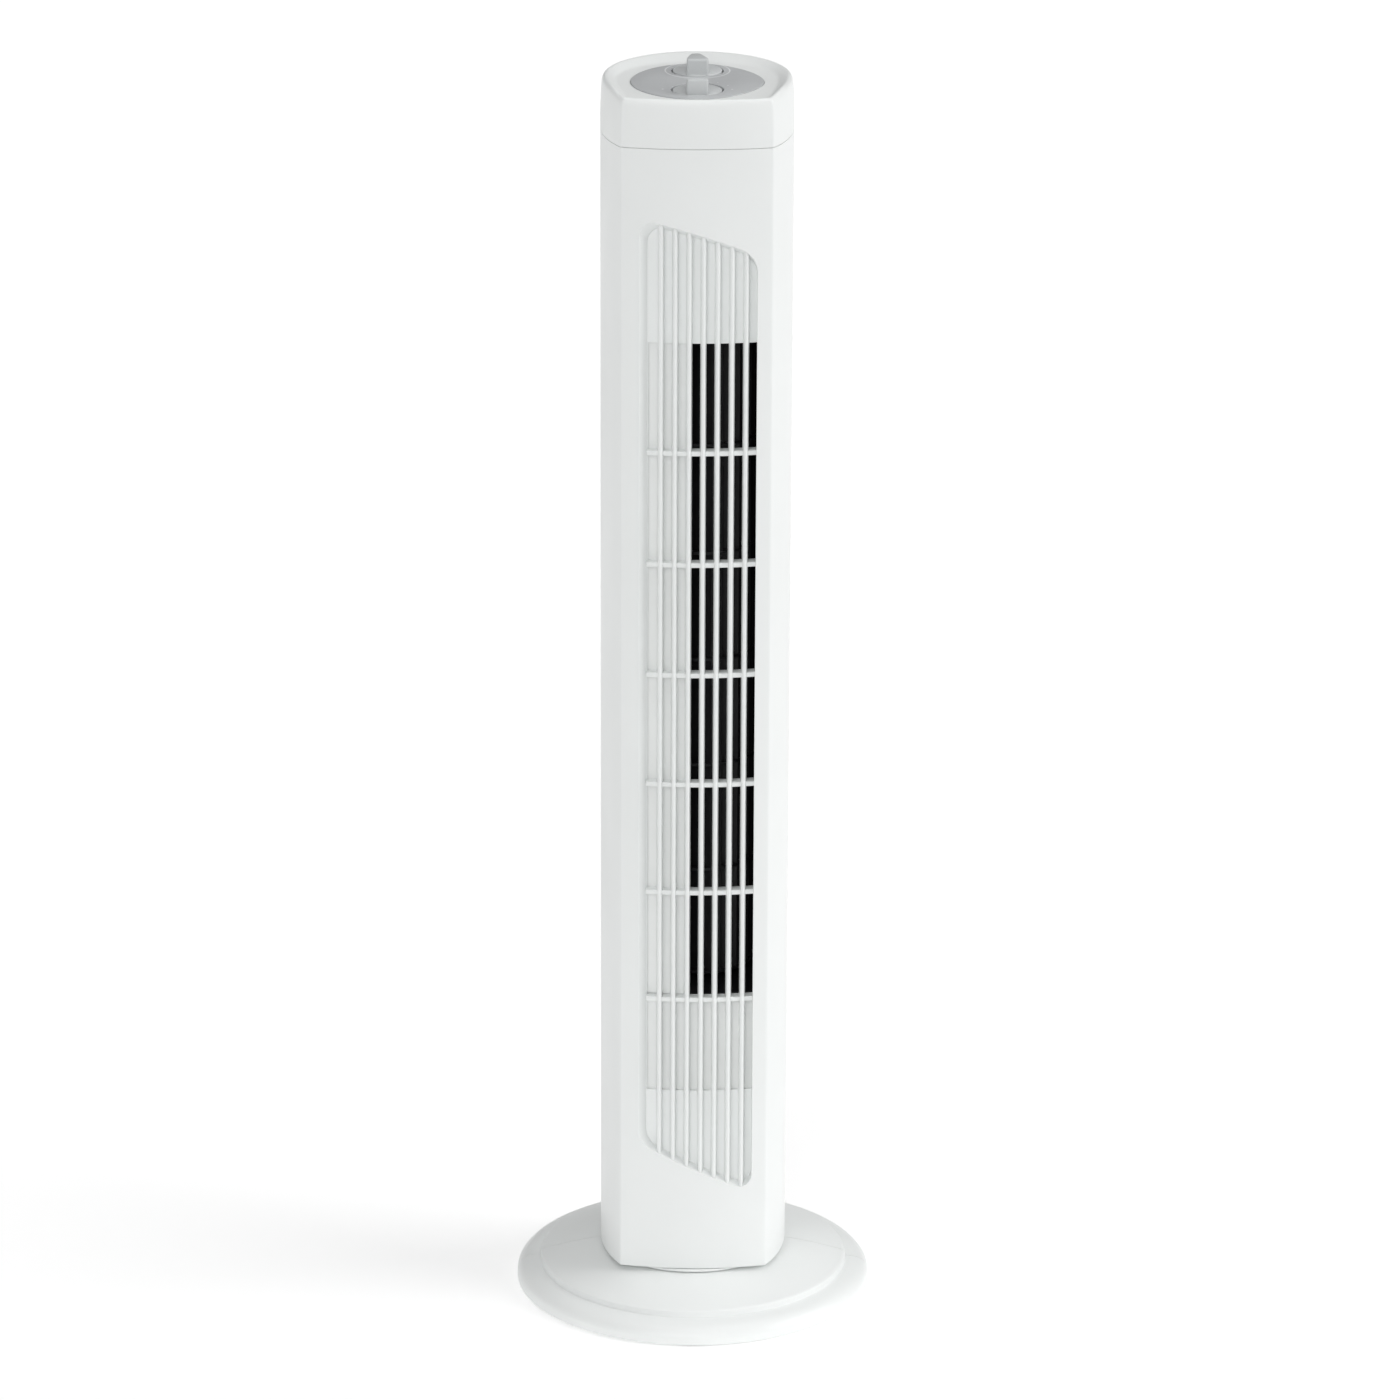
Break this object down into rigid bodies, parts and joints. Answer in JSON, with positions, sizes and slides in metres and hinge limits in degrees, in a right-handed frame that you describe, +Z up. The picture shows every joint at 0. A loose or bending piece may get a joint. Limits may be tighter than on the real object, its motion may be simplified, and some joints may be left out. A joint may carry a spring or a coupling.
{
  "type": "tower fan",
  "caption": "Slim white tower fan with a slatted outlet and black cross-flow wheel, two turning control knobs on top, and a column that swings on a round base.",
  "frame": {"origin": "centre of the base, on the surface that the rubber feet stand on", "axes": "+Z up along the swing axis of the column; -Y is the front, where the outlet faces; +X is to the right seen from the front"},
  "size_m": [0.22, 0.22, 0.7829],
  "materials": {
    "white_shell": "satin moulded ABS, cool white",
    "inner_white": "plain moulded ABS, off-white",
    "control_grey": "satin mid grey",
    "knob_grey": "satin light grey",
    "black_plastic": "matte black",
    "switch_plastic": "matte dark grey",
    "steel": "bright turned steel",
    "lamination_steel": "stacked electrical steel",
    "zinc_steel": "zinc plated",
    "coil_winding": "taped and varnished winding",
    "bearing_bronze": "sintered bronze",
    "rubber": "matte black rubber"
  },
  "bodies": {
    "base": {"base_front": "white_shell", "base_rear": "white_shell", "swivel_base": "inner_white", "retaining_ring": "steel", "foot_1": "rubber", "foot_2": "rubber", "foot_3": "rubber", "foot_4": "rubber", "foot_5": "rubber", "foot_6": "rubber", "base_screw_1": "zinc_steel", "base_screw_2": "zinc_steel", "base_screw_3": "zinc_steel", "base_screw_4": "zinc_steel"},
    "column": {"swivel_disc": "white_shell", "floor_plate": "inner_white", "front_shell": "white_shell", "front_grille": "white_shell", "rear_shell": "white_shell", "top_cap": "white_shell", "control_plate": "control_grey", "motor_cover": "inner_white", "upper_deck": "inner_white", "wheel_bush": "rubber", "air_guide": "inner_white", "scroll_wall": "black_plastic", "motor_stator": "lamination_steel", "motor_coil": "coil_winding", "motor_bracket_upper": "zinc_steel", "motor_bracket_lower": "zinc_steel", "motor_bearing_upper": "bearing_bronze", "motor_bearing_lower": "bearing_bronze", "speed_switch": "switch_plastic", "timer_unit": "switch_plastic", "swing_motor": "steel", "cord_gland": "switch_plastic", "shell_screw_1": "zinc_steel", "shell_screw_2": "zinc_steel", "shell_screw_3": "zinc_steel", "shell_screw_4": "zinc_steel"},
    "wheel": {"blower_wheel": "black_plastic", "wheel_pin": "steel", "motor_shaft": "steel", "motor_rotor": "lamination_steel"},
    "crank": {"swing_crank": "switch_plastic", "swing_shaft": "steel"},
    "speed_control": {"speed_knob": "knob_grey", "speed_spindle": "zinc_steel"},
    "timer_control": {"timer_knob": "knob_grey", "timer_spindle": "zinc_steel"}
  },
  "joints": [
    {"name": "column_swing", "type": "hinge", "parent": "base", "child": "column", "pos_m": [0, 0, 0.0266], "axis": [0, 0, 1], "range_deg": [-35, 35]},
    {"name": "wheel_spin", "type": "hinge", "parent": "column", "child": "wheel", "pos_m": [0.004, 0.006, 0.4], "axis": [0, 0, 1], "continuous": true},
    {"name": "crank_turn", "type": "hinge", "parent": "column", "child": "crank", "pos_m": [0, 0.022, 0.031], "axis": [0, 0, 1], "range_deg": [-126, 126]},
    {"name": "speed_turn", "type": "hinge", "parent": "column", "child": "speed_control", "pos_m": [0, -0.028, 0.772], "axis": [0, 0, 1], "range_deg": [-135, 0]},
    {"name": "timer_turn", "type": "hinge", "parent": "column", "child": "timer_control", "pos_m": [0, 0.0175, 0.772], "axis": [0, 0, 1], "range_deg": [-300, 0]}
  ],
  "couplings": [
    {"joint": "crank_turn", "follows": "column_swing", "ratio": -3.5714}
  ]
}
